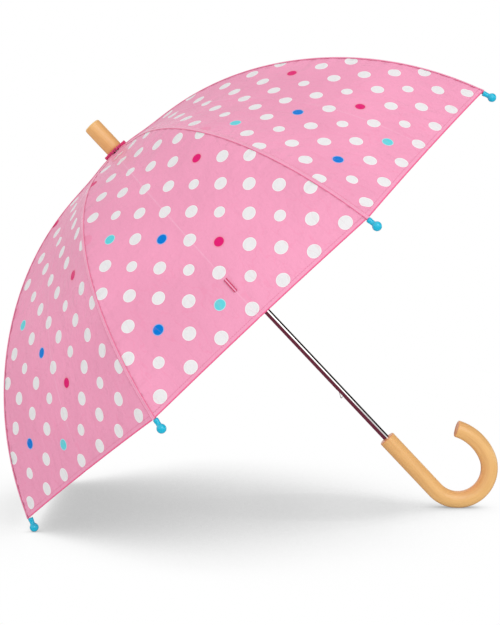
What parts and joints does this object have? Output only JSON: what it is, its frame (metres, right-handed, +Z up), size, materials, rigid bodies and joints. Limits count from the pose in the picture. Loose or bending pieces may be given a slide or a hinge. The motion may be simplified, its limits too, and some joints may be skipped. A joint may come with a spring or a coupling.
{
  "type": "children's stick umbrella",
  "caption": "Open children's stick umbrella: wooden crook handle, steel shaft, folding rib and stretcher frame, domed dotted fabric canopy and ball rib tips.",
  "frame": {"origin": "on the shaft's axis, in the middle of the handle's straight grip", "axes": "+Z up the shaft towards the ferrule, +X towards the open end of the crook"},
  "size_m": [0.7192, 0.7192, 0.6665],
  "materials": {
    "wood": "satin",
    "tube_steel": "polished",
    "rib_steel": "satin",
    "spring_steel": "satin",
    "moulded_white": "satin",
    "tip_turquoise": "gloss",
    "canopy_fabric": "satin",
    "washer_fabric": "matte",
    "thread_crimson": "matte",
    "fastener_fabric": "matte"
  },
  "bodies": {
    "umbrella_frame": {"handle": "wood", "shaft": "tube_steel", "ferrule": "wood", "pinked_washer": "washer_fabric", "canopy_apex": "canopy_fabric", "crown": "moulded_white", "crown_wire": "spring_steel", "crown_pin": "rib_steel", "stop_pin": "rib_steel"},
    "runner": {"runner": "moulded_white", "runner_wire": "spring_steel"},
    "top_catch": {"top_catch": "spring_steel"},
    "bottom_catch": {"bottom_catch": "spring_steel"},
    "rib_1": {"rib_inner_1": "rib_steel", "canopy_gore_1": "canopy_fabric"},
    "rib_end_1": {"rib_outer_1": "rib_steel", "tip_1": "tip_turquoise"},
    "stretcher_1": {"stretcher_1": "rib_steel"},
    "rib_2": {"rib_inner_2": "rib_steel", "canopy_gore_2": "canopy_fabric"},
    "rib_end_2": {"rib_outer_2": "rib_steel", "tip_2": "tip_turquoise"},
    "stretcher_2": {"stretcher_2": "rib_steel"},
    "rib_3": {"rib_inner_3": "rib_steel", "canopy_gore_3": "canopy_fabric"},
    "rib_end_3": {"rib_outer_3": "rib_steel", "tip_3": "tip_turquoise"},
    "stretcher_3": {"stretcher_3": "rib_steel"},
    "rib_4": {"rib_inner_4": "rib_steel", "canopy_gore_4": "canopy_fabric"},
    "rib_end_4": {"rib_outer_4": "rib_steel", "tip_4": "tip_turquoise"},
    "stretcher_4": {"stretcher_4": "rib_steel"},
    "rib_5": {"rib_inner_5": "rib_steel", "canopy_gore_5": "canopy_fabric"},
    "rib_end_5": {"rib_outer_5": "rib_steel", "tip_5": "tip_turquoise"},
    "stretcher_5": {"stretcher_5": "rib_steel"},
    "rib_6": {"rib_inner_6": "rib_steel", "canopy_gore_6": "canopy_fabric"},
    "rib_end_6": {"rib_outer_6": "rib_steel", "tip_6": "tip_turquoise", "closing_strap": "canopy_fabric", "strap_hook_pad": "fastener_fabric", "strap_loop_pad": "fastener_fabric", "strap_tab": "thread_crimson"},
    "stretcher_6": {"stretcher_6": "rib_steel"},
    "rib_7": {"rib_inner_7": "rib_steel", "canopy_gore_7": "canopy_fabric"},
    "rib_end_7": {"rib_outer_7": "rib_steel", "tip_7": "tip_turquoise"},
    "stretcher_7": {"stretcher_7": "rib_steel"},
    "rib_8": {"rib_inner_8": "rib_steel", "canopy_gore_8": "canopy_fabric"},
    "rib_end_8": {"rib_outer_8": "rib_steel", "tip_8": "tip_turquoise"},
    "stretcher_8": {"stretcher_8": "rib_steel"}
  },
  "joints": [
    {"name": "rib_1_turn", "type": "hinge", "parent": "umbrella_frame", "child": "rib_1", "pos_m": [0.00739, 0.00306, 0.517], "axis": [-0.3827, 0.9239, 0], "range_deg": [0, 73], "deforming": ["canopy_gore_1", "top_catch", "bottom_catch"]},
    {"name": "rib_1_flex", "type": "hinge", "parent": "rib_1", "child": "rib_end_1", "pos_m": [0.1945, 0.08056, 0.47529], "axis": [-0.3827, 0.9239, 0], "range_deg": [-32, 0]},
    {"name": "stretcher_1_turn", "type": "hinge", "parent": "rib_1", "child": "stretcher_1", "pos_m": [0.18861, 0.07812, 0.47399], "axis": [-0.3827, 0.9239, 0], "range_deg": [-146, 0]},
    {"name": "rib_2_turn", "type": "hinge", "parent": "umbrella_frame", "child": "rib_2", "pos_m": [0.00306, 0.00739, 0.517], "axis": [-0.9239, 0.3827, 0], "range_deg": [0, 73], "deforming": ["canopy_gore_2"]},
    {"name": "rib_2_flex", "type": "hinge", "parent": "rib_2", "child": "rib_end_2", "pos_m": [0.08056, 0.1945, 0.47529], "axis": [-0.9239, 0.3827, 0], "range_deg": [-32, 0]},
    {"name": "stretcher_2_turn", "type": "hinge", "parent": "rib_2", "child": "stretcher_2", "pos_m": [0.07812, 0.18861, 0.47399], "axis": [-0.9239, 0.3827, 0], "range_deg": [-146, 0]},
    {"name": "rib_3_turn", "type": "hinge", "parent": "umbrella_frame", "child": "rib_3", "pos_m": [-0.00306, 0.00739, 0.517], "axis": [-0.9239, -0.3827, 0], "range_deg": [0, 73], "deforming": ["canopy_gore_3"]},
    {"name": "rib_3_flex", "type": "hinge", "parent": "rib_3", "child": "rib_end_3", "pos_m": [-0.08056, 0.1945, 0.47529], "axis": [-0.9239, -0.3827, 0], "range_deg": [-32, 0]},
    {"name": "stretcher_3_turn", "type": "hinge", "parent": "rib_3", "child": "stretcher_3", "pos_m": [-0.07812, 0.18861, 0.47399], "axis": [-0.9239, -0.3827, 0], "range_deg": [-146, 0]},
    {"name": "rib_4_turn", "type": "hinge", "parent": "umbrella_frame", "child": "rib_4", "pos_m": [-0.00739, 0.00306, 0.517], "axis": [-0.3827, -0.9239, 0], "range_deg": [0, 73], "deforming": ["canopy_gore_4"]},
    {"name": "rib_4_flex", "type": "hinge", "parent": "rib_4", "child": "rib_end_4", "pos_m": [-0.1945, 0.08056, 0.47529], "axis": [-0.3827, -0.9239, 0], "range_deg": [-32, 0]},
    {"name": "stretcher_4_turn", "type": "hinge", "parent": "rib_4", "child": "stretcher_4", "pos_m": [-0.18861, 0.07812, 0.47399], "axis": [-0.3827, -0.9239, 0], "range_deg": [-146, 0]},
    {"name": "rib_5_turn", "type": "hinge", "parent": "umbrella_frame", "child": "rib_5", "pos_m": [-0.00739, -0.00306, 0.517], "axis": [0.3827, -0.9239, 0], "range_deg": [0, 73], "deforming": ["canopy_gore_5"]},
    {"name": "rib_5_flex", "type": "hinge", "parent": "rib_5", "child": "rib_end_5", "pos_m": [-0.1945, -0.08056, 0.47529], "axis": [0.3827, -0.9239, 0], "range_deg": [-32, 0]},
    {"name": "stretcher_5_turn", "type": "hinge", "parent": "rib_5", "child": "stretcher_5", "pos_m": [-0.18861, -0.07812, 0.47399], "axis": [0.3827, -0.9239, 0], "range_deg": [-146, 0]},
    {"name": "rib_6_turn", "type": "hinge", "parent": "umbrella_frame", "child": "rib_6", "pos_m": [-0.00306, -0.00739, 0.517], "axis": [0.9239, -0.3827, 0], "range_deg": [0, 73], "deforming": ["canopy_gore_6", "closing_strap", "strap_hook_pad", "strap_loop_pad", "strap_tab"]},
    {"name": "rib_6_flex", "type": "hinge", "parent": "rib_6", "child": "rib_end_6", "pos_m": [-0.08056, -0.1945, 0.47529], "axis": [0.9239, -0.3827, 0], "range_deg": [-32, 0]},
    {"name": "stretcher_6_turn", "type": "hinge", "parent": "rib_6", "child": "stretcher_6", "pos_m": [-0.07812, -0.18861, 0.47399], "axis": [0.9239, -0.3827, 0], "range_deg": [-146, 0]},
    {"name": "rib_7_turn", "type": "hinge", "parent": "umbrella_frame", "child": "rib_7", "pos_m": [0.00306, -0.00739, 0.517], "axis": [0.9239, 0.3827, 0], "range_deg": [0, 73], "deforming": ["canopy_gore_7"]},
    {"name": "rib_7_flex", "type": "hinge", "parent": "rib_7", "child": "rib_end_7", "pos_m": [0.08056, -0.1945, 0.47529], "axis": [0.9239, 0.3827, 0], "range_deg": [-32, 0]},
    {"name": "stretcher_7_turn", "type": "hinge", "parent": "rib_7", "child": "stretcher_7", "pos_m": [0.07812, -0.18861, 0.47399], "axis": [0.9239, 0.3827, 0], "range_deg": [-146, 0]},
    {"name": "rib_8_turn", "type": "hinge", "parent": "umbrella_frame", "child": "rib_8", "pos_m": [0.00739, -0.00306, 0.517], "axis": [0.3827, 0.9239, 0], "range_deg": [0, 73], "deforming": ["canopy_gore_8"]},
    {"name": "rib_8_flex", "type": "hinge", "parent": "rib_8", "child": "rib_end_8", "pos_m": [0.1945, -0.08056, 0.47529], "axis": [0.3827, 0.9239, 0], "range_deg": [-32, 0]},
    {"name": "stretcher_8_turn", "type": "hinge", "parent": "rib_8", "child": "stretcher_8", "pos_m": [0.18861, -0.07812, 0.47399], "axis": [0.3827, 0.9239, 0], "range_deg": [-146, 0]},
    {"name": "runner_on_stretcher", "type": "hinge", "parent": "stretcher_1", "child": "runner", "pos_m": [0.00739, 0.00306, 0.43097], "axis": [-0.3827, 0.9239, 0], "range_deg": [0, 73]},
    {"name": "top_catch_press", "type": "hinge", "parent": "umbrella_frame", "child": "top_catch", "pos_m": [0, 0, 0.33837], "axis": [0, 1, 0], "range_deg": [0, 5.5], "stiffness_Nm_per_rad": 1},
    {"name": "bottom_catch_press", "type": "hinge", "parent": "umbrella_frame", "child": "bottom_catch", "pos_m": [0, 0, 0.15379], "axis": [0, -1, 0], "range_deg": [0, 5.5], "stiffness_Nm_per_rad": 1}
  ],
  "couplings": [
    {"joint": "rib_1_flex", "follows": "rib_1_turn", "ratio": -0.43836},
    {"joint": "stretcher_1_turn", "follows": "rib_1_turn", "ratio": -2},
    {"joint": "rib_2_turn", "follows": "rib_1_turn", "ratio": 1},
    {"joint": "rib_2_flex", "follows": "rib_1_turn", "ratio": -0.43836},
    {"joint": "stretcher_2_turn", "follows": "rib_1_turn", "ratio": -2},
    {"joint": "rib_3_turn", "follows": "rib_1_turn", "ratio": 1},
    {"joint": "rib_3_flex", "follows": "rib_1_turn", "ratio": -0.43836},
    {"joint": "stretcher_3_turn", "follows": "rib_1_turn", "ratio": -2},
    {"joint": "rib_4_turn", "follows": "rib_1_turn", "ratio": 1},
    {"joint": "rib_4_flex", "follows": "rib_1_turn", "ratio": -0.43836},
    {"joint": "stretcher_4_turn", "follows": "rib_1_turn", "ratio": -2},
    {"joint": "rib_5_turn", "follows": "rib_1_turn", "ratio": 1},
    {"joint": "rib_5_flex", "follows": "rib_1_turn", "ratio": -0.43836},
    {"joint": "stretcher_5_turn", "follows": "rib_1_turn", "ratio": -2},
    {"joint": "rib_6_turn", "follows": "rib_1_turn", "ratio": 1},
    {"joint": "rib_6_flex", "follows": "rib_1_turn", "ratio": -0.43836},
    {"joint": "stretcher_6_turn", "follows": "rib_1_turn", "ratio": -2},
    {"joint": "rib_7_turn", "follows": "rib_1_turn", "ratio": 1},
    {"joint": "rib_7_flex", "follows": "rib_1_turn", "ratio": -0.43836},
    {"joint": "stretcher_7_turn", "follows": "rib_1_turn", "ratio": -2},
    {"joint": "rib_8_turn", "follows": "rib_1_turn", "ratio": 1},
    {"joint": "rib_8_flex", "follows": "rib_1_turn", "ratio": -0.43836},
    {"joint": "stretcher_8_turn", "follows": "rib_1_turn", "ratio": -2},
    {"joint": "runner_on_stretcher", "follows": "rib_1_turn", "ratio": 1}
  ]
}
